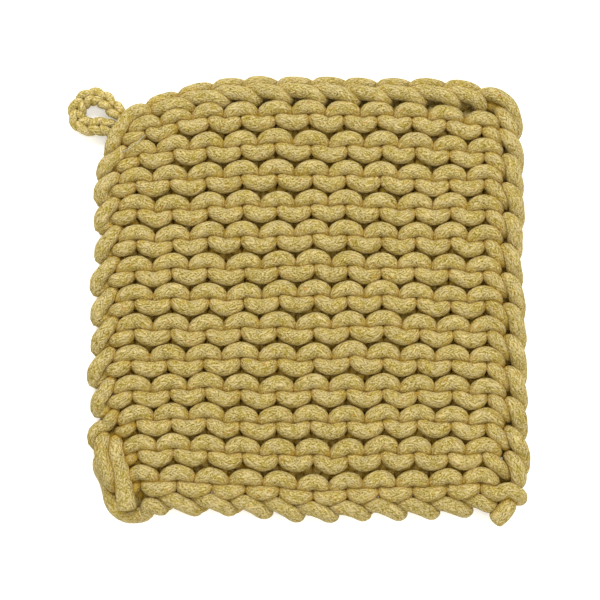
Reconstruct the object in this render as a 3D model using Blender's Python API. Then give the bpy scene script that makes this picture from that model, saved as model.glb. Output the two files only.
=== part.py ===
"""Knitted trivet with a hanging loop, lying flat with its front face up.

The knit is one thick slab of garter stitch in soft braided cord. Its ridges run
across the width, and a chain of cord closes each of its four edges. A small crocheted
loop leaves the upper left corner, and the two ends of the cord show at the lower
corners. Metres, +X across the width, +Y along the length, +Z up. The origin lies on
the surface that the trivet rests on, under the middle of the whole object.
"""

import math
from collections import namedtuple

import bmesh
import bpy
from mathutils import Vector

# Driving sizes of the knit
KNIT_WIDTH = 0.201
KNIT_LENGTH = 0.2085
KNIT_THICKNESS = 0.016
RIDGES = 13
RIDGE_PITCH = 0.0145
RIDGE_DEPTH = 0.0024
SCALLOP_DEPTH = 0.0012
RIM_HEIGHT = 0.0062
UPPER_ROUNDING = 0.0105
LOWER_ROUNDING = 0.0048
FIELD_SHIFT = 0.0012

# Driving sizes of the cord
CORD_DIAMETER = 0.0070
LOOP_DIAMETER = 0.0066
LOOP_REACH = 0.0130
TAIL_REACH = 0.0021
GAP = 0.0003

# Fineness of the shapes
STATIONS_PER_RIDGE = 6
ROUNDING_STEPS = 4
END_STEPS = 5
END_REACH = 0.0125
SHARP_ANGLE = math.radians(50.0)
TUBE_RESOLUTION = 3
STEPS_PER_SPAN = 2
WELD = 0.00001

# The loop and the lower tail stand out past the knit, so the knit sits off centre.
KNIT_X = LOOP_REACH / 2
KNIT_Y = TAIL_REACH / 2
LEFT = KNIT_X - KNIT_WIDTH / 2
RIGHT = KNIT_X + KNIT_WIDTH / 2
BOTTOM = KNIT_Y - KNIT_LENGTH / 2
TOP = KNIT_Y + KNIT_LENGTH / 2
FIELD_MIDDLE = KNIT_Y + FIELD_SHIFT

# How far each corner's rounding reaches across the width and along the length
Corner = namedtuple("Corner", "across along")
CORNERS = {
    "upper_left": Corner(across=0.057, along=0.057),
    "upper_right": Corner(across=0.024, along=0.030),
    "lower_left": Corner(across=0.024, along=0.036),
    "lower_right": Corner(across=0.016, along=0.014),
}

# Routes of the cord's middle line, from the knit outwards
Point = namedtuple("Point", "x y z")
LOOP_ROUTE = [
    Point(-0.0811, 0.0853, 0.0068),
    Point(-0.0857, 0.0905, 0.0062),
    Point(-0.0898, 0.0945, 0.0056),
    Point(-0.0950, 0.0968, 0.0048),
    Point(-0.1002, 0.0952, 0.0041),
    Point(-0.1036, 0.0908, 0.0037),
    Point(-0.1037, 0.0858, 0.0036),
    Point(-0.1008, 0.0822, 0.0038),
    Point(-0.0958, 0.0810, 0.0043),
    Point(-0.0912, 0.0811, 0.0050),
    Point(-0.0857, 0.0799, 0.0060),
]
LEFT_TAIL_ROUTE = [
    Point(-0.0846, -0.0772, 0.0134),
    Point(-0.0820, -0.0813, 0.0142),
    Point(-0.0792, -0.0866, 0.0140),
    Point(-0.0768, -0.0915, 0.0130),
    Point(-0.0749, -0.0960, 0.0117),
    Point(-0.0742, -0.0985, 0.0109),
]
RIGHT_TAIL_ROUTE = [
    Point(0.1000, -0.0938, 0.0104),
    Point(0.0981, -0.0964, 0.0104),
    Point(0.0952, -0.0987, 0.0098),
    Point(0.0922, -0.1007, 0.0088),
    Point(0.0894, -0.1022, 0.0076),
]

COTTON_COLOR = (0.60, 0.47, 0.17, 1.0)
COTTON_ROUGHNESS = 0.92


def clear_scene():
    for old in list(bpy.data.objects):
        bpy.data.objects.remove(old, do_unlink=True)


def cotton_material(name, shade):
    """Matte dyed cotton; shade lightens or darkens the common colour."""
    material = bpy.data.materials.new(name)
    material.use_nodes = True
    shader = material.node_tree.nodes["Principled BSDF"]
    color = [channel * shade for channel in COTTON_COLOR[:3]]
    shader.inputs["Base Color"].default_value = (*color, 1.0)
    shader.inputs["Roughness"].default_value = COTTON_ROUGHNESS
    shader.inputs["Metallic"].default_value = 0.0
    return material


def corner_inset(reach, past):
    """How far the rounded side has drawn in, past metres beyond the corner's start."""
    share = min(max(past / reach.along, 0.0), 1.0)
    return reach.across * (1.0 - math.sqrt(1.0 - share**2))


def side_inset(y, side):
    """The inset of the left or right side at y: the two corners and the scallops."""
    upper = CORNERS["upper_" + side]
    lower = CORNERS["lower_" + side]
    inset = corner_inset(upper, y - (TOP - upper.along))
    inset += corner_inset(lower, (BOTTOM + lower.along) - y)
    turn = 2.0 * math.pi * (y - FIELD_MIDDLE) / RIDGE_PITCH
    return inset + SCALLOP_DEPTH * (0.5 - 0.5 * math.cos(turn))


def ridge_drop(y):
    """How far the front lies below its ridges at y."""
    past_field = abs(y - FIELD_MIDDLE) - RIDGES * RIDGE_PITCH / 2
    if past_field > 0.0:
        return 0.0
    turn = 2.0 * math.pi * (y - FIELD_MIDDLE) / RIDGE_PITCH
    return RIDGE_DEPTH * (0.5 - 0.5 * math.cos(turn))


def rounded(distance, rounding):
    """The share of the full height that a quarter-round edge has at a distance in."""
    left = max(1.0 - distance / rounding, 0.0)
    return math.sqrt(1.0 - left**2)


def knit_section(y):
    """One closed outline of the knit in the plane at y, as (x, z) pairs."""
    from_end = min(TOP - y, y - BOTTOM)
    crown = KNIT_THICKNESS - RIM_HEIGHT - ridge_drop(y)
    height_above = crown * rounded(from_end, UPPER_ROUNDING)
    height_below = RIM_HEIGHT * rounded(from_end, LOWER_ROUNDING)
    left = LEFT + side_inset(y, "left")
    right = RIGHT - side_inset(y, "right")
    quarter = [0.5 * math.pi * step / ROUNDING_STEPS for step in range(ROUNDING_STEPS + 1)]
    left_side = []
    for angle in reversed(quarter):
        inwards = LOWER_ROUNDING * (1.0 - math.cos(angle))
        left_side.append((inwards, RIM_HEIGHT - height_below * math.sin(angle)))
    for angle in quarter[1:]:
        inwards = UPPER_ROUNDING * (1.0 - math.cos(angle))
        left_side.append((inwards, RIM_HEIGHT + height_above * math.sin(angle)))
    outline = [(left + inwards, z) for inwards, z in left_side]
    outline += [(right - inwards, z) for inwards, z in reversed(left_side)]
    return outline


def knit_stations():
    """The places along the length where the knit's outline is drawn."""
    near_end = []
    for step in range(1, END_STEPS + 1):
        angle = 0.5 * math.pi * step / (END_STEPS + 1)
        near_end.append(END_REACH * (1.0 - math.cos(angle)))
    count = RIDGES * STATIONS_PER_RIDGE
    spacing = RIDGE_PITCH / STATIONS_PER_RIDGE
    start = FIELD_MIDDLE - RIDGES * RIDGE_PITCH / 2
    field = [start + spacing * step for step in range(count + 1)]
    lower = [BOTTOM + distance for distance in near_end]
    upper = [TOP - distance for distance in near_end]
    return sorted(lower + [y for y in field if lower[-1] < y < upper[-1]] + upper)


def build_knit(material):
    shape = bmesh.new()
    rings = []
    for y in knit_stations():
        rings.append([shape.verts.new((x, y, z)) for x, z in knit_section(y)])
    for ring, following in zip(rings, rings[1:]):
        for here in range(len(ring)):
            after = (here + 1) % len(ring)
            corners = (ring[here], ring[after], following[after], following[here])
            shape.faces.new(corners)
    shape.faces.new(rings[0])
    shape.faces.new(list(reversed(rings[-1])))
    bmesh.ops.recalc_face_normals(shape, faces=shape.faces)
    mesh = bpy.data.meshes.new("knit_panel")
    shape.to_mesh(mesh)
    shape.free()
    mesh.shade_smooth()
    mesh.set_sharp_from_angle(angle=SHARP_ANGLE)
    mesh.materials.append(material)
    panel = bpy.data.objects.new("knit_panel", mesh)
    bpy.context.scene.collection.objects.link(panel)
    return panel


def smooth_route(route):
    """Points on a smooth curve through the route's own points."""
    places = [Vector(point) for point in route]
    before = 2.0 * places[0] - places[1]
    beyond = 2.0 * places[-1] - places[-2]
    padded = [before] + places + [beyond]
    smooth = []
    for a, b, c, d in zip(padded, padded[1:], padded[2:], padded[3:]):
        for step in range(STEPS_PER_SPAN):
            t = step / STEPS_PER_SPAN
            smooth.append(
                0.5
                * (
                    2.0 * b
                    + (c - a) * t
                    + (2.0 * a - 5.0 * b + 4.0 * c - d) * t**2
                    + (3.0 * b - a - 3.0 * c + d) * t**3
                )
            )
    return smooth + [places[-1]]


def build_tube(name, route, diameter, material=None):
    """A round cord along a smooth curve through the route, closed at both ends."""
    places = smooth_route(route)
    curve = bpy.data.curves.new(name, "CURVE")
    curve.dimensions = "3D"
    curve.bevel_depth = diameter / 2
    curve.bevel_resolution = TUBE_RESOLUTION
    curve.use_fill_caps = True
    line = curve.splines.new("POLY")
    line.points.add(len(places) - 1)
    for point, place in zip(line.points, places):
        point.co = (*place, 1.0)
    if material:
        curve.materials.append(material)
    tube = bpy.data.objects.new(name, curve)
    bpy.context.scene.collection.objects.link(tube)
    return tube


def lengthened(route, extra):
    """The same route with its first and last points moved outwards by extra metres."""
    places = [Vector(point) for point in route]
    places[0] += (places[0] - places[1]).normalized() * extra
    places[-1] += (places[-1] - places[-2]).normalized() * extra
    return places


def press_groove(panel, name, route):
    """Presses the bed of a cord end into the knit, one gap wider than the cord."""
    guide = build_tube(name, lengthened(route, GAP), CORD_DIAMETER + 2.0 * GAP)
    mesh = bpy.data.meshes.new_from_object(guide)
    bpy.data.objects.remove(guide)
    shape = bmesh.new()
    shape.from_mesh(mesh)
    bmesh.ops.remove_doubles(shape, verts=shape.verts, dist=WELD)
    bmesh.ops.recalc_face_normals(shape, faces=shape.faces)
    shape.to_mesh(mesh)
    shape.free()
    bed = bpy.data.objects.new(name, mesh)
    bpy.context.scene.collection.objects.link(bed)
    bed.hide_render = True
    bed.display_type = "WIRE"
    cut = panel.modifiers.new(name, "BOOLEAN")
    cut.operation = "DIFFERENCE"
    cut.solver = "EXACT"
    cut.object = bed


def main():
    clear_scene()
    knit_cotton = cotton_material("knit_cotton", 1.0)
    loop_cotton = cotton_material("loop_cotton", 0.92)
    tail_cotton = cotton_material("tail_cotton", 1.05)
    panel = build_knit(knit_cotton)
    build_tube("hanging_loop", LOOP_ROUTE, LOOP_DIAMETER, loop_cotton)
    tails = {"tail_left": LEFT_TAIL_ROUTE, "tail_right": RIGHT_TAIL_ROUTE}
    for name, route in tails.items():
        build_tube(name, route, CORD_DIAMETER, tail_cotton)
        press_groove(panel, name + "_bed", route)


main()
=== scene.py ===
"""A thick trivet, hand-knitted in garter stitch from soft braided cotton cord, with a small crocheted loop.

The cord is laid along the route that it really takes: back and forth through twenty-six rows of stitches,
round an edge loop at each turn, with a cast-on edge below and a bound-off chain above. Its section is then
pressed flat wherever two strands meet.
"""
import math

import bpy
import numpy as np
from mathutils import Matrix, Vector


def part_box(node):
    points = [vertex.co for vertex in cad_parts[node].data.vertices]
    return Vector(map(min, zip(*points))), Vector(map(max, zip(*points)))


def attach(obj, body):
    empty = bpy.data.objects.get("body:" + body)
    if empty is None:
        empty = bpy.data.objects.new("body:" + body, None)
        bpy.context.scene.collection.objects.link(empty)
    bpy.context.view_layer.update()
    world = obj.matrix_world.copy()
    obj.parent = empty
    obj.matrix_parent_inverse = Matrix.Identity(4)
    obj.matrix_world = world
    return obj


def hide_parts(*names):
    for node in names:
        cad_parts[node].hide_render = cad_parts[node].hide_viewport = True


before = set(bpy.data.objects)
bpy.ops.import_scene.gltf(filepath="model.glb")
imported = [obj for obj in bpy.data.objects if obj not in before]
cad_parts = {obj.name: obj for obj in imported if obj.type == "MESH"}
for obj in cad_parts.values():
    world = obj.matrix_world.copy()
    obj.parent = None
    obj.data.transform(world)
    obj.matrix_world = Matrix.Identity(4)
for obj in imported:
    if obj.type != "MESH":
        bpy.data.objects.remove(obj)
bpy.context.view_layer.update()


def millimetres(*points):
    """Places given in millimetres, in metres."""
    return np.array(points, float) * 0.001


KNIT_LOW, KNIT_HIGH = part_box("knit_panel")
LEFT, BOTTOM = KNIT_LOW[0], KNIT_LOW[1]
RIGHT, TOP = KNIT_HIGH[0], KNIT_HIGH[1]
MIDDLE_HEIGHT = (KNIT_LOW[2] + KNIT_HIGH[2]) / 2

# The knit
STITCHES = 11
RIDGES = 13
CORD_DIAMETER = 0.0074
FIRST_WALE = LEFT + 0.0204
LAST_WALE = RIGHT - 0.0179
FIRST_RIDGE = BOTTOM + 0.0137
LAST_RIDGE = TOP - 0.0202
WALE_PITCH = (LAST_WALE - FIRST_WALE) / (STITCHES - 1)
RIDGE_PITCH = (LAST_RIDGE - FIRST_RIDGE) / (RIDGES - 1)
HALF_RIDGE = 0.00260
CAST_ON_LIFT = 0.0030
SECOND_RIGHT_BULGE = 0.0022

# How far the strands lie from the middle of the thickness: where a stitch bends over, in its legs, at its
# crown and between two stitches
FACE_DEPTH = 0.0045
BEND_DEPTH = FACE_DEPTH - 0.0010
LEG_DEPTH = FACE_DEPTH - 0.0034
CROWN_DEPTH = FACE_DEPTH + 0.0002
BETWEEN_DEPTH = FACE_DEPTH - 0.0002
BETWEEN_SAG = 0.0014

# How unevenly a hand knits. A slip is how far a place strays across, along and in depth.
STITCH_LEAN = 0.07
LEAN_SPREAD = 0.035
WIDTH_SPREAD = 0.02
STITCH_SLIP = (0.00035, 0.00030, 0.00020)
BETWEEN_SLIP = (0.00030, 0.00030, 0.00020)
TURN_SLIP = (0.0003, 0.0004, 0.0001)
EDGE_SLIP = (0.0004, 0.0003, 0.0002)

# Each corner's side across and along, and how far its rounding reaches across and along
CORNERS = {
    "upper_left": (-1, 1, 0.057, 0.057),
    "upper_right": (1, 1, 0.024, 0.030),
    "lower_left": (-1, -1, 0.024, 0.036),
    "lower_right": (1, -1, 0.016, 0.014),
}
CORNER_LIMIT = 1.2

# How the hand-knitted wales lean and the rows bow: powers of the place across and along, and millimetres.
# The places are measured in DRIFT_SPAN, from DRIFT_CENTRE across and from the middle along.
ACROSS_DRIFT = (
    (0, 0, 0.7), (0, 5, -1.4), (1, 0, -1.0), (1, 3, 1.8), (1, 4, -2.8), (2, 0, -2.2),
    (2, 3, 1.1), (3, 1, 0.8), (4, 0, 0.9), (0, 8, -1.4), (2, 8, 2.0),
)
ALONG_DRIFT = (
    (0, 1, -1.5), (0, 2, 0.8), (0, 3, 1.5), (1, 1, 2.0), (2, 1, -2.8), (2, 3, -4.0),
    (3, 1, -3.0), (3, 2, -1.5), (4, 0, -4.8), (4, 1, 3.2), (0, 8, -0.7), (6, 0, 3.4),
)
DRIFT_CENTRE = 0.005
DRIFT_SPAN = 0.090
DRIFT_END = 0.98
DRIFT_EDGE = 0.012

# The strands' own slight wander, as waves: metres, radians a metre across and along, and their start
ACROSS_WAVES = (
    (0.0006, 23, 61, 1.9),
    (0.0004, -45, 140, 0.4),
)
ALONG_WAVES = (
    (0.0006, 52, 31, 0.7),
    (0.0004, 118, -87, 2.1),
)

# Routes of the two cord ends and of the hanging loop's middle line
LEFT_TAIL = millimetres(
    (-80.6, -66.8, 7.0),
    (-80.8, -70.0, 10.8),
    (-80.0, -74.2, 13.2),
    (-78.4, -78.8, 14.0),
    (-76.8, -84.2, 14.4),
    (-75.7, -89.8, 14.2),
    (-75.0, -94.5, 13.4),
    (-74.6, -97.8, 12.4),
)
RIGHT_TAIL = millimetres(
    (96.8, -92.5, 7.0),
    (96.6, -94.5, 9.4),
    (95.0, -97.4, 10.6),
    (92.8, -100.0, 10.2),
    (90.4, -102.2, 9.2),
)
LOOP_ROUTE = millimetres(
    (-81.1, 85.3, 6.8),
    (-86.3, 90.4, 6.2),
    (-90.1, 94.1, 5.6),
    (-95.0, 96.3, 4.8),
    (-99.9, 94.8, 4.1),
    (-103.1, 90.7, 3.7),
    (-103.2, 86.0, 3.6),
    (-100.5, 82.6, 3.8),
    (-95.8, 81.5, 4.3),
    (-91.5, 81.5, 5.0),
    (-85.7, 79.9, 6.0),
)
TAIL_DIAMETER = 0.0086
CHAIN_DIAMETER = 0.0070
CAST_ON_DIAMETER = 0.0072
LOOP_YARN = 0.0045

# How near each cord end the front face makes room for it, and how deep
ROOM_FOR_ENDS = (
    (LEFT_TAIL, 0.0075, 0.0050),
    (RIGHT_TAIL, 0.0060, 0.0030),
)
FRONT_FROM = -0.001
FRONT_FADE = 0.003

# Fineness of the cord's mesh
STEP = 0.0013
FINE_STEP = 0.0007
SIDES = 18
TINY = 1e-9
RANDOM = np.random.default_rng(26)


# ---- routes

def round_corners(points):
    """Moves points of the square knit in towards its rounded corners."""
    moved = np.array(points, float)
    for side_x, side_y, across, along in CORNERS.values():
        centre_x = (LEFT + across) if side_x < 0 else (RIGHT - across)
        centre_y = (BOTTOM + along) if side_y < 0 else (TOP - along)
        u = (points[:, 0] - centre_x) * side_x / across
        v = (points[:, 1] - centre_y) * side_y / along
        inside = (u > 0) & (v > 0)
        u_in = np.clip(u[inside], 0, CORNER_LIMIT)
        v_in = np.clip(v[inside], 0, CORNER_LIMIT)
        new_u = u[inside] * np.sqrt(1 - v_in ** 2 / 2)
        new_v = v[inside] * np.sqrt(1 - u_in ** 2 / 2)
        moved[inside, 0] = centre_x + side_x * across * new_u
        moved[inside, 1] = centre_y + side_y * along * new_v
    return moved


def drifted(u, v, terms):
    """How far places u across and v along are drawn aside, in metres."""
    return sum(
        size * 0.001 * u ** power_across * v ** power_along
        for power_across, power_along, size in terms
    )


def waved(x, y, waves):
    return sum(size * np.sin(across * x + along * y + start) for size, across, along, start in waves)


def wander(points, along=True):
    """The drift of hand-knitted rows and wales over the whole knit, and their slight wander."""
    x, y = points[:, 0], points[:, 1]
    u = np.clip((x - DRIFT_CENTRE) / DRIFT_SPAN, -1, 1)
    v = np.clip(y / DRIFT_SPAN, -DRIFT_END, DRIFT_END)
    moved = points.copy()
    from_side = np.clip(np.minimum(x - LEFT, RIGHT - x) / DRIFT_EDGE, 0, 1)
    from_end = np.clip(np.minimum(y - BOTTOM, TOP - y) / DRIFT_EDGE, 0, 1)
    moved[:, 0] += drifted(u, v, ACROSS_DRIFT) * from_side * (2 - from_side)
    if along:
        moved[:, 1] += drifted(u, v, ALONG_DRIFT) * from_end * (2 - from_end)
    moved[:, 1] += waved(x, y, ALONG_WAVES)
    moved[:, 0] += waved(x, y, ACROSS_WAVES)
    return moved


def make_room(points):
    """Strands of the front face lie deeper where a cord end lies over them."""
    moved = points.copy()
    for route, reach, depth in ROOM_FOR_ENDS:
        apart = np.linalg.norm(points[:, None, :2] - route[None, :, :2], axis=2).min(1)
        on_front = np.clip((points[:, 2] - FRONT_FROM) / FRONT_FADE, 0, 1)
        moved[:, 2] -= depth * on_front * np.exp(-(apart / reach) ** 2)
    return moved


def laid(points, at_edge=False):
    """Points given as across, along and depth from the middle of the thickness, at their place in the knit.

    Those of an edge that already follows the outline keep to it.
    """
    points = np.array(points, float)
    if not at_edge:
        points = round_corners(points)
    placed = make_room(wander(points, along=not at_edge))
    placed[:, 2] += MIDDLE_HEIGHT
    return placed


def wale(i):
    return FIRST_WALE + i * WALE_PITCH


def ridge(j):
    return FIRST_RIDGE + j * RIDGE_PITCH


def stitch(x, feet, head, face):
    """One stitch from its left foot to its right foot. face is 1 where its head lies on the front."""
    middle = (feet + head) / 2
    half = [
        (-0.0041, feet + 0.0004, -face * BEND_DEPTH),
        (-0.0022, feet + 0.0024, -face * LEG_DEPTH),
        (-0.0040, middle, 0.0),
        (-0.0059, head - 0.0029, face * LEG_DEPTH),
        (-0.0040, head - 0.0009, face * BEND_DEPTH),
    ]
    crown = [(0.0, head + 0.0010, face * CROWN_DEPTH)]
    mirrored = [(-across, along, depth) for across, along, depth in reversed(half)]
    points = np.array(half + crown + mirrored)
    lean = RANDOM.normal(0, LEAN_SPREAD)
    slip = RANDOM.normal(0, STITCH_SLIP)
    width = 1 + RANDOM.normal(0, WIDTH_SPREAD)
    points[:, 1] += points[:, 0] * (lean + STITCH_LEAN)
    points[:, 0] *= width
    return points + slip + np.array([x, 0, 0])


def between(x, feet, face):
    """The middle of the strand that joins two neighbouring stitches of a row."""
    slip = RANDOM.normal(0, BETWEEN_SLIP)
    return np.array([[x, feet - BETWEEN_SAG, -face * BETWEEN_DEPTH]]) + slip


def row(k):
    """One row from left to right: even rows have their heads on the front, odd rows on the back."""
    j = k // 2
    face = 1 if k % 2 == 0 else -1
    centre = ridge(j)
    if face > 0:
        feet, head = centre - RIDGE_PITCH / 2 - HALF_RIDGE, centre + HALF_RIDGE
        if k == 0:
            feet += CAST_ON_LIFT
    else:
        feet, head = centre - HALF_RIDGE, centre + RIDGE_PITCH / 2 + HALF_RIDGE
    parts = []
    for i in range(STITCHES):
        if i:
            parts.append(between(wale(i) - WALE_PITCH / 2, feet, face))
        parts.append(stitch(wale(i), feet, head, face))
    return np.vstack(parts)


# Edge loops, across from the knit's side and along from their ridge's middle line. The left one joins the
# foot of an even row on the back to the foot of the odd row above it on the front.
LEFT_LOOP = millimetres(
    (12.3, -10.8, -4.2),
    (9.0, -10.0, -2.6),
    (5.0, -9.0, -1.8),
    (4.0, -5.5, -3.6),
    (5.0, -1.0, -4.6),
    (7.6, 2.8, -4.0),
    (11.6, 5.6, -1.6),
    (11.8, 6.0, 1.0),
    (9.8, 3.2, 4.0),
    (7.0, -1.4, 4.7),
    (4.4, -6.5, 3.8),
    (3.8, -9.6, 1.2),
    (7.0, -9.0, 0.2),
    (9.5, -7.0, 0.8),
    (11.8, -4.6, 2.9),
    (14.4, -3.7, 4.2),
)

# The right one joins the foot of an odd row on the front to the foot of the even row above it on the back.
RIGHT_LOOP = millimetres(
    (-12.0, -5.4, 4.1),
    (-9.3, -8.4, 3.4),
    (-7.6, -10.8, 1.2),
    (-5.8, -10.5, -1.0),
    (-4.2, -7.0, -1.4),
    (-3.8, -3.5, -0.2),
    (-3.8, -0.4, 2.0),
    (-4.8, 3.2, 4.0),
    (-6.6, 6.6, 4.7),
    (-8.2, 9.8, 4.0),
    (-9.2, 12.0, 1.6),
    (-9.2, 12.4, -0.6),
    (-8.6, 11.2, -2.8),
    (-6.8, 8.5, -4.4),
    (-4.6, 5.0, -4.4),
    (-4.6, 1.8, -3.6),
    (-6.8, 1.4, -3.6),
    (-9.8, 3.5, -4.3),
)


# The turns next to the corners are drawn out of line with the others, so these are their own places.
LOWER_LEFT_TURN = millimetres(
    (-73.0, -97.4, 4.0),
    (-77.6, -96.4, 4.2),
    (-79.2, -94.6, 4.2),
    (-79.4, -91.6, 5.4),
    (-77.8, -90.0, 7.4),
    (-75.2, -90.2, 9.0),
)
SECOND_LEFT_TURN = millimetres(
    (-86.4, -67.2, 7.0),
    (-87.0, -67.6, 10.6),
    (-85.8, -72.0, 12.8),
    (-84.2, -77.0, 13.0),
    (-83.0, -82.0, 12.6),
    (-82.0, -87.0, 11.0),
    (-80.4, -89.6, 8.4),
    (-79.2, -87.6, 5.8),
    (-79.4, -83.4, 5.6),
    (-79.4, -79.8, 6.8),
    (-77.8, -77.2, 9.6),
)
UPPER_LEFT_TURN = millimetres(
    (-69.0, 83.0, 7.6),
    (-67.6, 86.0, 10.8),
    (-71.0, 87.4, 12.3),
    (-75.4, 86.0, 12.7),
    (-78.8, 82.0, 12.8),
    (-81.4, 77.8, 12.8),
    (-83.0, 73.2, 12.8),
    (-84.0, 68.6, 12.3),
    (-84.6, 64.6, 10.0),
    (-82.6, 64.8, 7.4),
    (-80.6, 69.0, 7.8),
    (-78.0, 74.0, 10.4),
)
LOWER_RIGHT_TURN = millimetres(
    (91.0, -91.8, 13.4),
    (94.0, -89.9, 14.2),
    (96.8, -89.8, 13.8),
    (98.8, -91.8, 12.0),
    (98.8, -93.8, 8.6),
    (96.6, -92.4, 5.4),
    (96.5, -88.8, 5.0),
    (98.8, -87.2, 7.4),
    (100.4, -85.0, 10.2),
    (100.4, -81.6, 12.2),
    (99.3, -77.7, 12.7),
    (97.5, -74.6, 12.0),
    (96.5, -73.4, 9.0),
    (97.4, -74.5, 6.0),
    (99.8, -78.5, 3.8),
    (101.6, -83.0, 3.6),
    (101.0, -86.0, 3.8),
    (98.0, -85.4, 3.8),
)
UPPER_RIGHT_END = millimetres(
    (94.2, 74.5, 11.6),
    (97.0, 73.6, 9.2),
    (99.6, 75.4, 9.6),
    (100.4, 79.0, 12.2),
    (99.2, 83.0, 12.8),
    (97.8, 87.0, 11.4),
    (95.7, 89.2, 7.8),
    (92.2, 91.1, 5.6),
    (88.2, 92.3, 4.8),
)


def edge_loop(points, x, y):
    """An edge loop's points moved to its ridge, with their own slip."""
    slip = RANDOM.normal(0, TURN_SLIP)
    return points + np.array([x, y, 0]) + slip


# How many points of the regular left loop lead into the two turns that are drawn out
LEAD_INTO_SECOND = 6
LEAD_INTO_UPPER = 5


def left_turn(j):
    regular = edge_loop(LEFT_LOOP, LEFT, ridge(j))
    if j == 0:
        return [LOWER_LEFT_TURN]
    if j == 1:
        return [laid(regular[:LEAD_INTO_SECOND]), SECOND_LEFT_TURN]
    if j == RIDGES - 1:
        return [laid(regular[:LEAD_INTO_UPPER]), UPPER_LEFT_TURN]
    return [laid(regular)]


def right_turn(j):
    if j == 0:
        return [LOWER_RIGHT_TURN]
    if j == RIDGES - 1:
        return [UPPER_RIGHT_END]
    bulge = SECOND_RIGHT_BULGE if j == 1 else 0.0
    return [laid(edge_loop(RIGHT_LOOP, RIGHT + bulge, ridge(j)))]


def rows_route():
    """The whole knitted cord, from the first stitch at the lower right to the last at the upper right."""
    parts = []
    for k in range(2 * RIDGES):
        j = k // 2
        if k % 2 == 0:
            parts.append(laid(row(k)[::-1]))
            parts.extend(left_turn(j))
        else:
            parts.append(laid(row(k)))
            parts.extend(right_turn(j))
    return np.vstack(parts)


# The outline of the knit's upper edge
UPPER_EDGE = millimetres(
    (-78.5, 89.0), (-71.0, 93.4), (-63.7, 96.6), (-56.6, 98.4),
    (-49.5, 99.9), (-42.4, 101.3), (-35.3, 102.9), (-26.0, 104.4),
    (-14.0, 105.5), (20.0, 105.4), (45.0, 104.8), (64.0, 103.3),
    (79.0, 103.0), (88.0, 102.2), (94.0, 100.2), (99.5, 96.8),
)

# One loop of the bound-off chain, across from its stitch's middle and along from the knit's upper edge
CHAIN_LOOP = millimetres(
    (4.0, -7.8, 0.2),
    (7.5, -8.2, 3.0),
    (11.0, -8.6, 4.6),
    (16.0, -9.3, 5.0),
    (20.5, -10.4, 4.4),
    (23.5, -11.8, 1.6),
    (22.8, -10.2, -2.6),
    (20.5, -6.6, -4.2),
    (17.0, -4.0, -2.6),
    (12.0, -3.2, -0.4),
    (7.0, -3.6, -0.4),
    (3.0, -6.2, -2.6),
    (5.0, -10.0, -4.4),
    (11.0, -10.8, -4.4),
    (16.5, -9.2, -3.0),
)
CHAIN_SHIFT = 0.0012
OUTLINE_SPAN = 0.006

# The last one rounds the upper right corner, at these places.
LAST_CHAIN_LOOP = millimetres(
    (89.6, 95.2, 8.0),
    (91.6, 95.6, 11.0),
    (95.0, 94.6, 12.7),
    (98.6, 92.2, 12.8),
    (101.4, 88.6, 12.2),
    (103.0, 84.2, 11.2),
    (103.6, 79.6, 9.8),
    (102.4, 75.8, 7.0),
    (99.6, 77.5, 4.2),
    (96.6, 82.0, 3.8),
    (93.6, 87.0, 3.6),
    (93.6, 91.0, 3.4),
    (92.8, 94.4, 3.4),
)


def upper_outline(s):
    """A place on the knit's upper edge and the direction out of it, s being measured along it as x is."""
    length = places_along(UPPER_EDGE)
    length -= np.interp(0.0, UPPER_EDGE[:, 0], length)
    before, place, after = (
        np.array([np.interp(at, length, UPPER_EDGE[:, axis]) for axis in range(2)])
        for at in (s - OUTLINE_SPAN, s, s + OUTLINE_SPAN)
    )
    ahead = after - before
    return place, np.array([-ahead[1], ahead[0]]) / np.linalg.norm(ahead)


def chain_route():
    """The bound-off chain, which follows the upper edge and rounds its right corner."""
    points = []
    for i in range(STITCHES - 1):
        slip = RANDOM.normal(0, EDGE_SLIP)
        for across, along, depth in CHAIN_LOOP:
            place, out = upper_outline(wale(i) - CHAIN_SHIFT + across)
            x, y = place + out * along
            points.append(np.array([x, y, depth]) + slip)
    return np.vstack([laid(points, at_edge=True), LAST_CHAIN_LOOP])


# One turn of the cast-on strand, across from its stitch's middle and along from the knit's lower edge. The
# first turn starts at its front.
CAST_ON_TURN = millimetres(
    (-9.0, 7.6, -1.0),
    (-6.6, 8.0, 2.2),
    (-2.2, 6.6, 4.2),
    (3.4, 4.6, 4.4),
    (8.0, 3.4, 2.2),
    (9.7, 3.6, -1.0),
    (8.6, 5.2, -3.6),
    (7.4, 7.0, -3.4),
)
CAST_ON_FRONT = 3

# The strand that rounds the lower left corner
CORNER_STRAND = millimetres(
    (-82.5, -70.5, 6.0),
    (-86.2, -73.9, 6.4),
    (-87.0, -78.3, 6.2),
    (-85.6, -83.0, 5.6),
    (-83.2, -87.8, 5.2),
    (-82.0, -93.0, 5.6),
    (-79.8, -97.4, 6.6),
    (-75.6, -100.2, 7.0),
    (-71.5, -100.9, 7.2),
    (-66.4, -99.8, 7.6),
)


def cast_on_route():
    """The cast-on strand winds once round the feet of each stitch, along the lower edge."""
    parts = [CORNER_STRAND]
    for i in range(STITCHES):
        slip = RANDOM.normal(0, EDGE_SLIP)
        turn = CAST_ON_TURN + np.array([wale(i), BOTTOM, 0]) + slip
        parts.append(laid(turn[CAST_ON_FRONT:] if i == 0 else turn))
    return np.vstack(parts)


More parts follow.
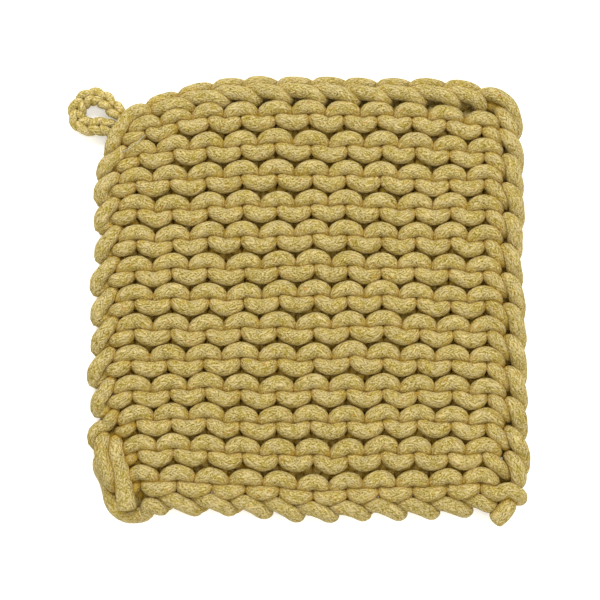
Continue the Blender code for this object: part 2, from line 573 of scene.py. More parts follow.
# One stitch of the crocheted chain: along in stitches, and across and up in half widths
CROCHET_STITCH = [
    (0.00, 0.15, -1.0),
    (0.25, 0.12, 0.0),
    (0.48, 0.38, 0.8),
    (0.90, 0.92, 0.7),
    (1.32, 0.80, 0.0),
    (1.55, 0.30, -0.4),
    (1.55, -0.30, -0.4),
    (1.32, -0.80, 0.0),
    (0.90, -0.92, 0.7),
    (0.48, -0.38, 0.8),
    (0.25, -0.12, 0.0),
    (0.40, -0.15, -1.0),
]
CROCHET_PITCH = 0.0054
CROCHET_HALF_WIDTH = 0.0022
CROCHET_HALF_DEPTH = 0.0019
CROCHET_SLIP = (0.04, 0.05, 0.05)
LAST_CROCHET = 1.2


def crochet_route(route):
    """A crocheted chain of thin yarn along a route, whose last stitch takes LAST_CROCHET of a pitch."""
    line = smooth_route(route, FINE_STEP)
    along, _, _ = frames(line)
    length = (len(line) - 1) * np.linalg.norm(line[1] - line[0])
    count = int(length / CROCHET_PITCH) - 1
    pitch = length / (count + LAST_CROCHET)
    across = np.cross((0.0, 0.0, 1.0), along)
    across /= np.linalg.norm(across, axis=1)[:, None]
    up = np.cross(along, across)
    points = []
    for stitch_number in range(count + 1):
        slip = RANDOM.normal(0, CROCHET_SLIP)
        for ahead, aside, above in np.array(CROCHET_STITCH) + slip:
            at = min(max((stitch_number + ahead) * pitch / length, 0.0), 1.0) * (len(line) - 1)
            spot = int(round(at))
            sideways = across[spot] * aside * CROCHET_HALF_WIDTH
            points.append(line[spot] + sideways + up[spot] * above * CROCHET_HALF_DEPTH)
    return np.array(points)


def smooth_route(points, step=STEP, spread=8):
    """Even steps along a smooth curve through the points (a centripetal Catmull-Rom spline)."""
    first = 2 * points[0] - points[1]
    last = 2 * points[-1] - points[-2]
    p = np.vstack([first, points, last])
    knots = places_along(p, 0.5)
    t0, t1, t2, t3 = (knots[i:len(knots) - 3 + i, None, None] for i in range(4))
    p0, p1, p2, p3 = (p[i:len(p) - 3 + i, None, :] for i in range(4))
    t = t1 + (t2 - t1) * np.linspace(0, 1, spread, endpoint=False)[None, :, None]
    a1 = on_the_way(t, t0, t1, p0, p1)
    a2 = on_the_way(t, t1, t2, p1, p2)
    a3 = on_the_way(t, t2, t3, p2, p3)
    b1 = on_the_way(t, t0, t2, a1, a2)
    b2 = on_the_way(t, t1, t3, a2, a3)
    curve = on_the_way(t, t1, t2, b1, b2).reshape(-1, 3)
    return even_steps(np.vstack([curve, points[-1]]), step)


def on_the_way(t, start, end, low, high):
    """The place at t on the straight way from low at start to high at end."""
    return (end - t) / (end - start) * low + (t - start) / (end - start) * high


def places_along(points, power=1):
    """How far along a line of points each one lies, each stretch counted to a power."""
    stretches = np.linalg.norm(np.diff(points, axis=0), axis=1) ** power
    return np.concatenate([[0], np.cumsum(stretches)])


def even_steps(curve, step):
    """The same curve with its points as near to a step apart as comes out even."""
    lengths = places_along(curve)
    count = max(2, int(round(lengths[-1] / step)) + 1)
    at = np.linspace(0, lengths[-1], count)
    return np.column_stack([np.interp(at, lengths, curve[:, i]) for i in range(3)])


# ---- cords pressed together

class Cord:
    """A strand: its middle line, its free radius, and which run of cord it belongs to.

    hold is how firmly it keeps its route, and shade how strongly painted shade deepens and warms its colour
    in the hollows between strands.
    """

    def __init__(self, name, points, diameter, run, step=STEP, hold=0.06, shade=1.0):
        self.name = name
        self.line = smooth_route(points, step)
        self.radius = diameter / 2
        self.run = run
        self.step = step
        self.hold = hold
        self.shade = shade


def joined(cords, value):
    """One array of a value for every point of every cord."""
    return np.concatenate([np.full(len(cord.line), value(cord)) for cord in cords])


def along_cords(cords):
    """How far along its own cord each point lies."""
    return np.concatenate([np.arange(len(cord.line)) * cord.step for cord in cords])


def stretches_of(cords):
    """Each cord with the stretch of the joined arrays that is its own."""
    start = 0
    for cord in cords:
        stop = start + len(cord.line)
        yield cord, slice(start, stop)
        start = stop


# How many points are worked out at once, which spares memory
BLOCK = 400


def close_pairs(line, run, order, reach, clear):
    """Pairs of points nearer than reach to each other that aren't neighbours along one cord."""
    found_a, found_b = [], []
    square = (line ** 2).sum(1)
    for start in range(0, len(line), BLOCK):
        block = slice(start, min(start + BLOCK, len(line)))
        gap = square[block, None] + square[None, :] - 2 * line[block] @ line.T
        a, b = np.nonzero(gap < reach ** 2)
        a = a + start
        keep = (run[a] != run[b]) | (np.abs(order[a] - order[b]) > clear[a])
        found_a.append(a[keep])
        found_b.append(b[keep])
    return np.concatenate(found_a), np.concatenate(found_b)


# Strands are pushed until their middle lines lie SETTLE_GAP of the sum of their radii apart. Pairs are
# looked for anew every few rounds, and points of one cord count as a pair past OWN_CLEAR radii along it.
SETTLE_ROUNDS = 40
ROUNDS_A_SEARCH = 8
SETTLE_REACH = CORD_DIAMETER * 1.15
SETTLE_GAP = 0.75
SETTLE_PUSH = 0.25
SETTLE_SMOOTH = 0.20
OWN_CLEAR = 3.0
# Their lines keep this share of their radius from the surface below and from TOP_ROOM over the knit.
PRESSED_RADIUS = 0.92
TOP_ROOM = 0.0004


def settle(cords):
    """Lets strands push each other apart where they would share space, as soft cord does when pulled up."""
    line = np.vstack([cord.line for cord in cords])
    radius = joined(cords, lambda cord: cord.radius)
    run = joined(cords, lambda cord: cord.run)
    hold = joined(cords, lambda cord: cord.hold)[:, None]
    order = along_cords(cords)
    clear = OWN_CLEAR * radius
    home = line.copy()
    inner = np.concatenate([[False] + [True] * (len(cord.line) - 2) + [False] for cord in cords])
    total = len(line)
    lowest = radius * PRESSED_RADIUS
    highest = 2 * MIDDLE_HEIGHT + TOP_ROOM - radius * PRESSED_RADIUS
    for turn in range(SETTLE_ROUNDS):
        if turn % ROUNDS_A_SEARCH == 0:
            a, b = close_pairs(line, run, order, SETTLE_REACH, clear)
            wanted = (radius[a] + radius[b]) * SETTLE_GAP
        apart = line[a] - line[b]
        distance = np.linalg.norm(apart, axis=1) + TINY
        short = np.clip(wanted - distance, 0, None)
        push = apart / distance[:, None] * (short * 0.5)[:, None]
        weight = short / wanted
        share = np.bincount(a, weights=weight, minlength=total) + TINY
        move = np.column_stack([
            np.bincount(a, weights=push[:, i] * weight, minlength=total) / share for i in range(3)
        ])
        line = line + SETTLE_PUSH * 2 * move
        middle = line.copy()
        middle[1:-1] = (line[:-2] + line[2:]) / 2
        line[inner] += SETTLE_SMOOTH * (middle[inner] - line[inner])
        line += hold * (home - line)
        line[:, 2] = np.clip(line[:, 2], lowest, highest)
    for cord, own in stretches_of(cords):
        cord.line = line[own]


def frames(line):
    """Directions along and across a line that doesn't start upright, carried along it without twist."""
    along = np.gradient(line, axis=0)
    along /= np.linalg.norm(along, axis=1)[:, None]
    side = np.empty_like(line)
    start = np.cross(along[0], (0.0, 0.0, 1.0))
    side[0] = start / np.linalg.norm(start)
    for i in range(1, len(line)):
        carried = side[i - 1] - along[i] * np.dot(side[i - 1], along[i])
        side[i] = carried / np.linalg.norm(carried)
    return along, side, np.cross(along, side)


def ways_round(side, up, sides):
    """Directions round a line at each of its points."""
    turn = np.linspace(0, 2 * np.pi, sides, endpoint=False)
    return side[:, None, :] * np.cos(turn)[None, :, None] + up[:, None, :] * np.sin(turn)[None, :, None]


def least_of_pairs(edges, measure):
    """The least that any of a point's pairs measures in each direction round it, or FAR without a pair.

    edges says where each point's pairs start, and measure takes a stretch of pairs.
    """
    count = len(edges) - 1
    least = np.full((count, SIDES), FAR)
    for start in range(0, count, BLOCK):
        stop = min(start + BLOCK, count)
        if edges[start] == edges[stop]:
            continue
        has = edges[start + 1:stop + 1] > edges[start:stop]
        heads = edges[start:stop][has] - edges[start]
        measured = measure(slice(edges[start], edges[stop]))
        least[np.arange(start, stop)[has]] = np.minimum.reduceat(measured, heads, axis=0)
    return least


# Strands within this reach press each other flat where they face, with a little overlap. FAR is no limit.
SECTION_REACH = CORD_DIAMETER * 1.25
CONTACT_GAP = -0.00010
LEAST_FACING = 0.15
FAR = 1.0

# Where the cord bends more than this, in radians a metre, its inner surface stops short of the centre.
SHARP_BEND = 60.0
BEND_SHARE = 0.92
LEAST_DOWN = 0.2

# Diameters as shares of the free cord's: inside the knit, on its faces, and at its two sides. The depths
# between which the first two blend are shares of FACE_DEPTH.
INSIDE_SWELL = 0.68
FACE_SWELL = 1.00
SWELL_DEPTHS = (0.40, 1.0)
SIDE_SWELL = 1.02
SIDE_REACH = 0.009
SIDE_FADE = 0.004

# A pressed cord bulges to keep this much of its section, but grows no further.
AREA_KEPT = 0.93
MOST_GROWTH = 1.06
ROUNDING = 10.0
SOFTENINGS = 2


def sections(cords):
    """The radius of each cord in each direction round it, pressed flat where strands meet."""
    line = np.vstack([cord.line for cord in cords])
    run = joined(cords, lambda cord: cord.run)
    radius = joined(cords, lambda cord: cord.radius)
    knitted = joined(cords, lambda cord: cord.radius == CORD_DIAMETER / 2)
    parts = [frames(cord.line) for cord in cords]
    side = np.vstack([part[1] for part in parts])
    up = np.vstack([part[2] for part in parts])
    ways = ways_round(side, up, SIDES)

    a, b = close_pairs(line, run, along_cords(cords), SECTION_REACH, OWN_CLEAR * radius)
    apart = line[b] - line[a]
    distance = np.linalg.norm(apart, axis=1)
    toward = apart / distance[:, None]
    # Radii share the gap between two lines in proportion.
    room = distance * radius[a] / (radius[a] + radius[b]) - CONTACT_GAP
    edges = np.searchsorted(a, np.arange(len(line) + 1))

    def reach(pairs):
        """How far a strand reaches in each direction before it meets its neighbour's share."""
        facing = np.einsum("pkc,pc->pk", ways[a[pairs]], toward[pairs])
        return np.where(facing > LEAST_FACING, room[pairs, None] / np.maximum(facing, LEAST_FACING), FAR)

    limit = least_of_pairs(edges, reach)
    for (cord, own), part in zip(stretches_of(cords), parts):
        # Inside a bend, the surface stops short of the bend's centre.
        bend = np.gradient(part[0], axis=0) / cord.step
        inward = np.einsum("nkc,nc->nk", ways[own], bend)
        curb = np.where(inward > SHARP_BEND, BEND_SHARE / np.maximum(inward, SHARP_BEND), FAR)
        # Nothing reaches below the surface that the knit lies on.
        down = -ways[own, :, 2]
        floor = np.where(down > LEAST_DOWN, cord.line[:, 2:3] / np.maximum(down, LEAST_DOWN), FAR)
        limit[own] = np.minimum(np.minimum(limit[own], curb), floor)

    result = pressed(radius * np.where(knitted, swelling(line), 1.0), limit)
    for cord, own in stretches_of(cords):
        result[own] = softened(result[own])
    skin = line[:, None, :] + ways * result[:, :, None]
    # How much painted shade, a deeper and warmer colour, each point gets where strands enclose it
    hollow = closeness(skin, line, result.mean(axis=1), a, b, edges)
    for cord, own in stretches_of(cords):
        cord.skin = skin[own]
        cord.hollow = hollow[own] * cord.shade


def swelling(line):
    """How thick the knitted cord is: it swells on a face, is drawn thin inside, but not at the sides."""
    depth = np.abs(line[:, 2] - MIDDLE_HEIGHT) / FACE_DEPTH
    swell = np.interp(depth, SWELL_DEPTHS, (INSIDE_SWELL, FACE_SWELL))
    from_side = np.minimum(line[:, 0] - LEFT, RIGHT - line[:, 0])
    return swell + (SIDE_SWELL - swell) * np.clip((SIDE_REACH - from_side) / SIDE_FADE, 0, 1)


def pressed(radius, limit):
    """Radii in each direction, kept within their limits; what is pressed away makes the rest bulge."""
    free = np.repeat(radius[:, None], SIDES, axis=1)
    result = soft_least(free, limit)
    wedge = 0.5 * math.sin(2 * math.pi / SIDES)
    area = wedge * (result * np.roll(result, -1, axis=1)).sum(1)
    full = wedge * SIDES * radius ** 2
    grow = np.clip(np.sqrt(AREA_KEPT * full / area), 1.0, MOST_GROWTH)
    return soft_least(free * grow[:, None], limit)


def softened(radii):
    """Radii evened out with their neighbours', round the cord and along it."""
    for _ in range(SOFTENINGS):
        radii = (np.roll(radii, 1, axis=1) + 2 * radii + np.roll(radii, -1, axis=1)) / 4
        padded = np.vstack([radii[:1], radii, radii[-1:]])
        radii = (padded[:-2] + 2 * padded[1:-1] + padded[2:]) / 4
    return radii


# The painted shade in the hollows between strands fades where the knit lies open: towards its sides, its two
# ends and its faces.
HOLLOW_REACH = 0.0040
HOLLOW_MARGIN = 0.004
HOLLOW_FADE = 0.008
OPEN_SHARE = 0.3
HOLLOW_DEPTHS = (0.0036, 0.0064)


def closeness(skin, line, radius, a, b, edges):
    """How closely strands enclose each point of the surface, from 0 (open) to 1 (deep and touching), which
    is how much painted shade it gets.
    """
    def clearance(pairs):
        away = skin[a[pairs]] - line[b[pairs], None, :]
        return np.sqrt((away ** 2).sum(2)) - radius[b[pairs], None]

    gap = least_of_pairs(edges, clearance)
    from_side = np.minimum(skin[..., 0] - LEFT, RIGHT - skin[..., 0])
    from_end = np.minimum(skin[..., 1] - BOTTOM, TOP - skin[..., 1])
    inset = np.minimum(from_side - HOLLOW_MARGIN, from_end)
    enclosed = np.clip(inset / HOLLOW_FADE, OPEN_SHARE, 1)
    deep = np.interp(np.abs(skin[..., 2] - MIDDLE_HEIGHT), HOLLOW_DEPTHS, (1.0, OPEN_SHARE))
    return np.clip(1 - gap / HOLLOW_REACH, 0, 1) ** 2 * deep * enclosed


def soft_least(a, b):
    """The lesser of two radii, rounded off where they cross."""
    return (a ** -ROUNDING + b ** -ROUNDING) ** (-1 / ROUNDING)


# ---- meshes

# A cut end shrinks in these steps. Both tips of a tube get half the painted shade that the deepest hollows
# get.
CUT_END_STEPS = (0.95, 0.80, 0.45)
TIP_SHADE = 0.5


def with_cut_end(line, skin, hollow, lengths, bulge):
    """The rings, painted shades and places of a stretch of cord with a blunt end that bulges out."""
    out = line[-1] - line[-2]
    out /= np.linalg.norm(out)
    steps = len(CUT_END_STEPS)
    caps = np.array([
        line[-1] + (skin[-1] - line[-1]) * size + out * bulge * (n + 1) / steps
        for n, size in enumerate(CUT_END_STEPS)
    ])
    shades = np.repeat(hollow[-1][None, :], steps, axis=0)
    places = lengths[-1] + bulge * (np.arange(steps) + 1) / steps
    return np.vstack([skin, caps]), np.vstack([hollow, shades]), np.concatenate([lengths, places])


def tube_faces(count, sides):
    """Four-sided faces between the rings of a tube, and fans that close its start and its end."""
    ring = np.arange(count - 1)[:, None] * sides
    spot = np.arange(sides)[None, :]
    after = (spot + 1) % sides
    corners = [ring + spot, ring + after, ring + sides + after, ring + sides + spot]
    quads = np.stack(corners, -1).reshape(-1, 4)
    round_ = np.arange(sides)
    tip = count * sides
    start_fan = np.column_stack([np.full(sides, tip), (round_ + 1) % sides, round_])
    final = (count - 1) * sides
    end_fan = np.column_stack([np.full(sides, tip + 1), final + round_, final + (round_ + 1) % sides])
    return quads.tolist() + start_fan.tolist() + end_fan.tolist()


def tube_uv(lengths, sides):
    """The map of tube_faces' corners: metres along the cord, and turns round it."""
    rows = np.repeat(np.arange(len(lengths) - 1), sides)
    cols = np.tile(np.arange(sides), len(lengths) - 1)
    quads = np.empty((len(rows), 4, 2))
    for corner, (ahead, aside) in enumerate(((0, 0), (0, 1), (1, 1), (1, 0))):
        quads[:, corner] = np.column_stack([lengths[rows + ahead], (cols + aside) / sides])
    round_ = np.arange(sides)
    fans = np.zeros((2 * sides, 3, 2))
    fans[:sides, :, 0] = lengths[0]
    fans[sides:, :, 0] = lengths[-1]
    fans[:sides, 1:, 1] = np.column_stack([round_ + 1, round_]) / sides
    fans[sides:, 1:, 1] = np.column_stack([round_, round_ + 1]) / sides
    return np.concatenate([quads.ravel(), fans.ravel()])


def tube_piece(name, cord, material, first=0, last=None, cut_end=0.0):
    """A closed tube from a stretch of a cord, whose end bulges out by cut_end metres where it is cut."""
    line, skin, hollow = cord.line[first:last], cord.skin[first:last], cord.hollow[first:last]
    lengths = np.arange(first, first + len(line)) * cord.step
    if cut_end:
        skin, hollow, lengths = with_cut_end(line, skin, hollow, lengths, cut_end)
    count, sides = skin.shape[:2]
    vertices = np.vstack([skin.reshape(-1, 3), skin[0].mean(0), skin[-1].mean(0)])
    mesh = bpy.data.meshes.new(name)
    mesh.from_pydata(vertices.tolist(), [], tube_faces(count, sides))
    mesh.uv_layers.new(name="cord").data.foreach_set("uv", tube_uv(lengths, sides))
    # The painted shade between strands goes to the material as a point attribute.
    shade = mesh.attributes.new("hollow", "FLOAT", "POINT")
    shade.data.foreach_set("value", np.concatenate([hollow.ravel(), [TIP_SHADE, TIP_SHADE]]))
    mesh.shade_smooth()
    mesh.materials.append(material)
    piece = bpy.data.objects.new(name, mesh)
    bpy.context.scene.collection.objects.link(piece)
    return piece


# ---- materials

def group(name, inputs, outputs):
    """An empty shader node group. inputs maps a socket's name to its default value."""
    tree = bpy.data.node_groups.new(name, "ShaderNodeTree")
    for label, value in inputs.items():
        socket = tree.interface.new_socket(label, in_out="INPUT", socket_type="NodeSocketFloat")
        socket.default_value = value
    for label in outputs:
        tree.interface.new_socket(label, in_out="OUTPUT", socket_type="NodeSocketFloat")
    return tree, tree.nodes.new("NodeGroupInput"), tree.nodes.new("NodeGroupOutput")


def feed(tree, socket, value):
    """Sets a socket to a number, or links another node's socket to it."""
    if isinstance(value, (int, float)):
        socket.default_value = value
    else:
        tree.links.new(value, socket)


def maths(tree, operation, *values):
    """A Math node. Each value is a number or another node's socket."""
    node = tree.nodes.new("ShaderNodeMath")
    node.operation = operation
    for socket, value in zip(node.inputs, values):
        feed(tree, socket, value)
    return node.outputs[0]


def blended(tree, factor, low, high):
    """A float Mix node from low to high."""
    node = tree.nodes.new("ShaderNodeMix")
    for index, value in ((0, factor), (2, low), (3, high)):
        feed(tree, node.inputs[index], value)
    return node.outputs[0]


def tinted(tree, factor, colour, other):
    """A colour Mix node from a colour's socket to another colour."""
    node = tree.nodes.new("ShaderNodeMix")
    node.data_type = "RGBA"
    node.inputs[7].default_value = (*other, 1)
    tree.links.new(factor, node.inputs[0])
    tree.links.new(colour, node.inputs[6])
    return node.outputs[2]


def noise(tree, vector, scale, detail, roughness=0.5):
    node = tree.nodes.new("ShaderNodeTexNoise")
    node.inputs["Scale"].default_value = scale
    node.inputs["Detail"].default_value = detail
    node.inputs["Roughness"].default_value = roughness
    tree.links.new(vector, node.inputs["Vector"])
    return node.outputs["Fac"]


PLIES_A_CROSSING = 2.0
PLY_SLANT = 0.9
PLY_FULLNESS = 0.7
ABOVE_ZERO = 0.001


def ply_height(tree, along_strand, across_strand):
    """The twisted plies of one strand: ridges that cross it at a slant."""
    aside = maths(tree, "MULTIPLY", across_strand, PLY_SLANT)
    slant = maths(tree, "MULTIPLY_ADD", along_strand, PLIES_A_CROSSING, aside)
    wave = maths(tree, "SINE", maths(tree, "MULTIPLY", slant, math.pi))
    height = maths(tree, "MAXIMUM", maths(tree, "ABSOLUTE", wave), ABOVE_ZERO)
    return maths(tree, "POWER", height, PLY_FULLNESS)


FIBRES_ACROSS = 2.3
FIBRES_ALONG = 0.42
FIBRE_NOISE = (1.0, 2.0, 0.6)
LEFT_FIBRES_START = 7.3


def fibre_grain(tree, across_strand, along_strand, start):
    """Noise drawn out along one set of strands; start keeps the two sets from matching."""
    across = maths(tree, "MULTIPLY", across_strand, FIBRES_ACROSS)
    along = maths(tree, "MULTIPLY", along_strand, FIBRES_ALONG)
    place = tree.nodes.new("ShaderNodeCombineXYZ")
    for socket, value in zip(place.inputs, (across, along, start)):
        feed(tree, socket, value)
    return noise(tree, place.outputs[0], *FIBRE_NOISE)


# Each strand passes over two others and under two, so the pattern repeats every four crossings. The stretch
# that lies on top sinks to STRAND_ENDS of its height at its ends.
CROSSINGS = 4.0
LAST_ON_TOP = 1.5
STRAND_ENDS = 0.55
STRAND_FULLNESS = 0.6

# A strand's length to a turn, how many strands, how high they stand and how strongly the knit's hollows get
# painted shade
CORD_BRAID = {"lead": 0.040, "strands": 16.0, "relief": 0.00050, "painted_shade_strength": 0.95}
YARN_BRAID = {"lead": 0.012, "strands": 8.0, "relief": 0.00030, "painted_shade_strength": 0.30}


def braid_group():
    """A tubular braid. Along and Lead are in metres, Around in turns."""
    sockets = {"Along": 0.0, "Around": 0.0, "Lead": CORD_BRAID["lead"], "Strands": CORD_BRAID["strands"]}
    tree, given, result = group("braid", sockets, ("Height", "Plies", "Grain"))
    around, strands = given.outputs["Around"], given.outputs["Strands"]
    turned = maths(tree, "DIVIDE", given.outputs["Along"], given.outputs["Lead"])
    right = maths(tree, "MULTIPLY", strands, maths(tree, "ADD", around, turned))
    left = maths(tree, "MULTIPLY", strands, maths(tree, "SUBTRACT", around, turned))
    cell = maths(tree, "ADD", maths(tree, "FLOOR", right), maths(tree, "FLOOR", left))
    phase = maths(tree, "FLOORED_MODULO", cell, CROSSINGS)
    right_on_top = maths(tree, "LESS_THAN", phase, LAST_ON_TOP)
    right_part = maths(tree, "FRACT", right)
    left_part = maths(tree, "FRACT", left)
    right_crown = maths(tree, "SINE", maths(tree, "MULTIPLY", right_part, math.pi))
    left_crown = maths(tree, "SINE", maths(tree, "MULTIPLY", left_part, math.pi))
    crown = blended(tree, right_on_top, left_crown, right_crown)
    across_part = blended(tree, right_on_top, right_part, left_part)
    start = maths(tree, "FLOORED_MODULO", phase, CROSSINGS / 2)
    run = maths(tree, "MULTIPLY", maths(tree, "ADD", start, across_part), math.pi / 2)
    rounded = maths(tree, "POWER", maths(tree, "MAXIMUM", crown, ABOVE_ZERO), STRAND_FULLNESS)
    sunk = maths(tree, "MULTIPLY_ADD", maths(tree, "SINE", run), 1 - STRAND_ENDS, STRAND_ENDS)
    tree.links.new(maths(tree, "MULTIPLY", rounded, sunk), result.inputs["Height"])
    right_plies = ply_height(tree, left, right_part)
    left_plies = ply_height(tree, right, left_part)
    tree.links.new(blended(tree, right_on_top, left_plies, right_plies), result.inputs["Plies"])
    right_grain = fibre_grain(tree, right, left, 0.0)
    left_grain = fibre_grain(tree, left, right, LEFT_FIBRES_START)
    tree.links.new(blended(tree, right_on_top, left_grain, right_grain), result.inputs["Grain"])
    return tree


# The cotton's unevenness: the scale and the detail of each noise
NOISES = {
    "drift": (160.0, 1.0),
    "sway": (230.0, 1.0),
    "fuzz": (1250.0, 1.0),
    "speckle": (1900.0, 0.0),
    "pits": (900.0, 1.0),
    "felt": (330.0, 1.0),
    "patches": (60.0, 2.0),
    "husk": (520.0, 0.0),
}
STRAND_DRIFT = 0.0050
STRAND_SWAY = 0.09
PIT_FROM = 0.62
PIT_SHADE = -4.0
FELT_CLEARING = (2.2, -0.10)
# The braid's relief also darkens the colour in its grooves and lightens it on its crowns: painted shade and
# light.
STRAND_SHADE = (0.28, 0.56)
SHADE_STRENGTHS = {"plies": 0.20, "grain": 1.35, "fuzz": 0.6, "speckle": 0.8, "patches": 0.2}
RELIEF_STRENGTHS = {"plies": 0.35, "grain": 1.2, "fuzz": 0.5, "speckle": 0.3}
HUSK_FROM = 0.79
HUSK_STRENGTH = 0.6
HUSK_COLOUR = (0.38, 0.17, 0.03)

# From the darkest fibres to the palest: a shade, and its share of the dye's red, green and blue. Towards the
# dark end it is partly painted shade in the braid's grooves, towards the pale, bluer end partly a painted
# highlight on the strands' crowns.
DYE_SHADES = (
    (0.22, (0.46, 0.40, 0.03)),
    (0.50, (0.70, 0.69, 0.36)),
    (0.74, (1.00, 1.00, 1.00)),
    (1.15 / 1.2, (1.40, 1.44, 2.20)),
)
# The colour of the painted shade in the knit's hollows, as shares of the dye's red, green and blue
PAINTED_SHADE_TINT = (1.60, 1.17, 0.0)
COTTON_FINISH = {
    "Roughness": 0.92,
    "Specular IOR Level": 0.10,
    "Sheen Weight": 0.04,
    "Sheen Roughness": 0.6,
}


def colour_scaled(colour, shares):
    return tuple(part * share for part, share in zip(colour, shares))


def braided(tree, braid, place, lead, strands):
    """The braid group laid along the cord's own map, with strands that run as unevenly as in a soft cord."""
    uv = tree.nodes.new("ShaderNodeUVMap")
    uv.uv_map = "cord"
    split = tree.nodes.new("ShaderNodeSeparateXYZ")
    tree.links.new(uv.outputs["UV"], split.inputs[0])
    pattern = tree.nodes.new("ShaderNodeGroup")
    pattern.node_tree = braid
    pattern.inputs["Lead"].default_value = lead
    pattern.inputs["Strands"].default_value = strands
    drift = ("Along", "X", "drift", STRAND_DRIFT)
    sway = ("Around", "Y", "sway", STRAND_SWAY)
    for socket, axis, kind, size in (drift, sway):
        stray = maths(tree, "MULTIPLY_ADD", noise(tree, place, *NOISES[kind]), size, -size / 2)
        tree.links.new(maths(tree, "ADD", split.outputs[axis], stray), pattern.inputs[socket])
    return pattern.outputs


def tone_and_shade_ramp(tree, shade, colour):
    """The colour for each shade: the dye's own, with painted shade and painted highlight from the braid's
    relief.
    """
    tint = tree.nodes.new("ShaderNodeValToRGB")
    stops = tint.color_ramp.elements
    for number, (position, shares) in enumerate(DYE_SHADES):
        stop = stops[number] if number < len(stops) else stops.new(position)
        stop.position = position
        stop.color = (*colour_scaled(colour, shares), 1)
    tree.links.new(shade, tint.inputs["Fac"])
    return tint.outputs["Color"]


def cotton_material(name, colour, braid, lead, strands, relief, painted_shade_strength):
    """Matt cotton: strands, fibres along them, slight unevenness of the dye, a few husk specks, and painted
    shade: in the braid's grooves, and deeper and warmer in the knit's hollows.
    """
    material = bpy.data.materials.new(name)
    material.use_nodes = True
    tree = material.node_tree
    shader = tree.nodes["Principled BSDF"]
    for label, value in COTTON_FINISH.items():
        shader.inputs[label].default_value = value

    place = tree.nodes.new("ShaderNodeTexCoord").outputs["Object"]
    pattern = braided(tree, braid, place, lead, strands)
    # In places the fibres have felted over the strands.
    clear_braid = maths(tree, "MULTIPLY_ADD", noise(tree, place, *NOISES["felt"]), *FELT_CLEARING)
    height = maths(tree, "MULTIPLY", pattern["Height"], clear_braid)
    parts = {
        "plies": maths(tree, "MULTIPLY", pattern["Plies"], clear_braid),
        "grain": pattern["Grain"],
    }
    for part in ("fuzz", "speckle", "patches"):
        parts[part] = noise(tree, place, *NOISES[part])
    # The fibre shade: painted shade, darker in the grooves between the braid's strands and plies and lighter
    # on their crowns, plus the fibres' own uneven tone from the grain, fuzz, speckle and patches, and darker
    # random pits.
    shade = maths(tree, "MULTIPLY_ADD", height, *STRAND_SHADE)
    for part, strength in SHADE_STRENGTHS.items():
        change = maths(tree, "MULTIPLY_ADD", parts[part], strength, -strength / 2)
        shade = maths(tree, "ADD", shade, change)
    pits = maths(tree, "SUBTRACT", noise(tree, place, *NOISES["pits"]), PIT_FROM)
    shade = maths(tree, "MULTIPLY_ADD", maths(tree, "MAXIMUM", pits, 0.0), PIT_SHADE, shade)

    husk = maths(tree, "GREATER_THAN", noise(tree, place, *NOISES["husk"]), HUSK_FROM)
    husk = maths(tree, "MULTIPLY", husk, HUSK_STRENGTH)
    specked = tinted(tree, husk, tone_and_shade_ramp(tree, shade, colour), HUSK_COLOUR)
    # Painted shade: between the strands of the knit, where they enclose each other, the colour is made
    # deeper and warmer.
    hollow = tree.nodes.new("ShaderNodeAttribute")
    hollow.attribute_name = "hollow"
    depth = maths(tree, "MULTIPLY", hollow.outputs["Fac"], painted_shade_strength)
    warmed = tinted(tree, depth, specked, colour_scaled(colour, PAINTED_SHADE_TINT))
    tree.links.new(warmed, shader.inputs["Base Color"])

    for part, strength in RELIEF_STRENGTHS.items():
        height = maths(tree, "MULTIPLY_ADD", parts[part], strength, height)
    bump = tree.nodes.new("ShaderNodeBump")
    bump.inputs["Distance"].default_value = relief
    tree.links.new(height, bump.inputs["Height"])
    tree.links.new(bump.outputs["Normal"], shader.inputs["Normal"])
    return material


# ---- the object

KNIT_DYE = (0.380, 0.297, 0.092)
LOOP_DYE = (0.395, 0.315, 0.100)
FIBRE_DYE = (0.80, 0.74, 0.50)

braid = braid_group()
knit_cotton = cotton_material("knit_cotton", KNIT_DYE, braid, **CORD_BRAID)
tail_cotton = cotton_material("tail_cotton", KNIT_DYE, braid, **CORD_BRAID)
loop_cotton = cotton_material("loop_cotton", LOOP_DYE, braid, **YARN_BRAID)

rows_cord = Cord("knit_rows", rows_route(), CORD_DIAMETER, 0)
chain_cord = Cord("bound_off_chain", chain_route(), CHAIN_DIAMETER, 1, hold=0.12, shade=0.5)
cast_on_cord = Cord("cast_on_edge", cast_on_route(), CAST_ON_DIAMETER, 2, hold=0.12, shade=0.4)
left_tail_cord = Cord("left_cord_end", LEFT_TAIL, TAIL_DIAMETER, 3, hold=0.5)
right_tail_cord = Cord("right_cord_end", RIGHT_TAIL, TAIL_DIAMETER, 4, hold=0.5)
loop_cord = Cord("crocheted_loop", crochet_route(LOOP_ROUTE), LOOP_YARN, 5, step=FINE_STEP, hold=0.5)
cords = [rows_cord, chain_cord, cast_on_cord, left_tail_cord, right_tail_cord, loop_cord]
settle(cords)
sections(cords)


def add_piece(piece, slot, *nodes):
    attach(piece, "root")
    if nodes:
        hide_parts(*nodes)


# The rows are one cord of three pieces, joined end to end inside the knit.
ROW_PIECES = ("lower_rows", "middle_rows", "upper_rows")
joints = np.linspace(0, len(rows_cord.line) - 1, len(ROW_PIECES) + 1).astype(int)
for name, first, last in zip(ROW_PIECES, joints[:-1], joints[1:]):
    rows_piece = tube_piece(name, rows_cord, knit_cotton, first, last + 1)
    add_piece(rows_piece, "knit_cord", *(["knit_panel"] if first == 0 else []))
for cord in (chain_cord, cast_on_cord):
    add_piece(tube_piece(cord.name, cord, knit_cotton), "knit_cord")

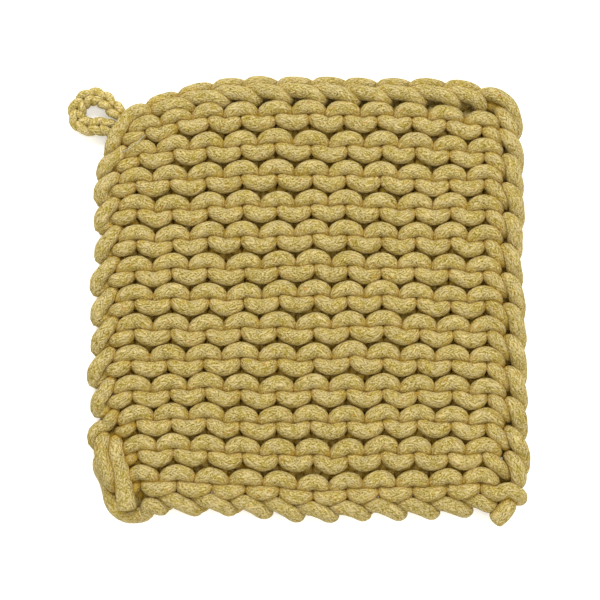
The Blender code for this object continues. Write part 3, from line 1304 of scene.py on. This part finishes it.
left_tail = tube_piece("left_cord_end", left_tail_cord, tail_cotton, cut_end=0.0012)
right_tail = tube_piece("right_cord_end", right_tail_cord, tail_cotton, cut_end=0.0016)
add_piece(left_tail, "tail_cord", "tail_left")
add_piece(right_tail, "tail_cord", "tail_right")
loop = tube_piece("crocheted_loop", loop_cord, loop_cotton)
add_piece(loop, "loop_cord", "hanging_loop")

# A stray pale fibre lies across the upper left corner.
STRAY_FIBRE = millimetres(
    (-80.0, 65.9, 16.2),
    (-76.3, 67.4, 17.8),
    (-72.7, 70.3, 17.8),
    (-69.5, 74.1, 16.0),
)
FIBRE_DIAMETER = 0.0005
FIBRE_SIDES = 6


def stray_fibre(material):
    fibre = Cord("stray_fibre", STRAY_FIBRE, FIBRE_DIAMETER, 6, step=FINE_STEP)
    _, side, up = frames(fibre.line)
    fibre.skin = fibre.line[:, None, :] + ways_round(side, up, FIBRE_SIDES) * fibre.radius
    fibre.hollow = np.zeros(fibre.skin.shape[:2])
    return tube_piece(fibre.name, fibre, material)


pale_cotton = cotton_material("pale_cotton", FIBRE_DYE, braid, **CORD_BRAID)
add_piece(stray_fibre(pale_cotton), "knit_cord")

# ---- floor, lights and camera

FLOOR_SIZE = 6
FLOOR_COLOUR = (0.9, 0.9, 0.9, 1)
FLOOR_ROUGHNESS = 0.9
FLOOR_GLOW = 0.30
WHITE = (1, 1, 1, 1)


def add_floor():
    """A pale floor, whose faint glow keeps the shade on it light, as on a lit table."""
    bpy.ops.mesh.primitive_plane_add(size=FLOOR_SIZE)
    floor = bpy.context.object
    floor.name = "floor"
    material = bpy.data.materials.new("floor")
    material.use_nodes = True
    shader = material.node_tree.nodes["Principled BSDF"]
    shader.inputs["Base Color"].default_value = FLOOR_COLOUR
    shader.inputs["Roughness"].default_value = FLOOR_ROUGHNESS
    shader.inputs["Emission Color"].default_value = WHITE
    shader.inputs["Emission Strength"].default_value = FLOOR_GLOW
    floor.data.materials.append(material)


def add_area_light(name, place, size, power):
    """A round lamp at a place in metres, aimed at the middle of the floor. Its power is in watts."""
    light = bpy.data.lights.new(name, "AREA")
    light.shape = "DISK"
    light.size = size
    light.energy = power
    lamp = bpy.data.objects.new(name, light)
    lamp.location = place
    lamp.rotation_euler = (-Vector(place)).to_track_quat("-Z", "Y").to_euler()
    bpy.context.scene.collection.objects.link(lamp)


WORLD_COLOUR = (1, 0.97, 0.86, 1)
WORLD_STRENGTH = 0.98


def add_world():
    world = bpy.data.worlds.new("studio")
    world.use_nodes = True
    background = world.node_tree.nodes["Background"]
    background.inputs["Color"].default_value = WORLD_COLOUR
    background.inputs["Strength"].default_value = WORLD_STRENGTH
    bpy.context.scene.world = world
    bpy.context.scene.view_settings.view_transform = "Standard"


CAMERA_ELEVATION = math.radians(80)
CAMERA_DISTANCE = 0.650
CAMERA_AIM = Vector((0.0027, -0.0025, 0.008))
SENSOR_WIDTH = 36
LENS = 84.4


def add_camera():
    data = bpy.data.cameras.new("camera")
    data.sensor_width = SENSOR_WIDTH
    data.lens = LENS
    camera = bpy.data.objects.new("camera", data)
    away = Vector((0, -math.cos(CAMERA_ELEVATION), math.sin(CAMERA_ELEVATION)))
    camera.location = CAMERA_AIM + CAMERA_DISTANCE * away
    camera.rotation_euler = (-away).to_track_quat("-Z", "Y").to_euler()
    bpy.context.scene.collection.objects.link(camera)
    bpy.context.scene.camera = camera


add_floor()
add_area_light("key", (-0.10, 0.90, 1.05), 0.9, 18)
add_area_light("fill", (0.5, -0.5, 1.2), 1.2, 8)
add_world()
add_camera()
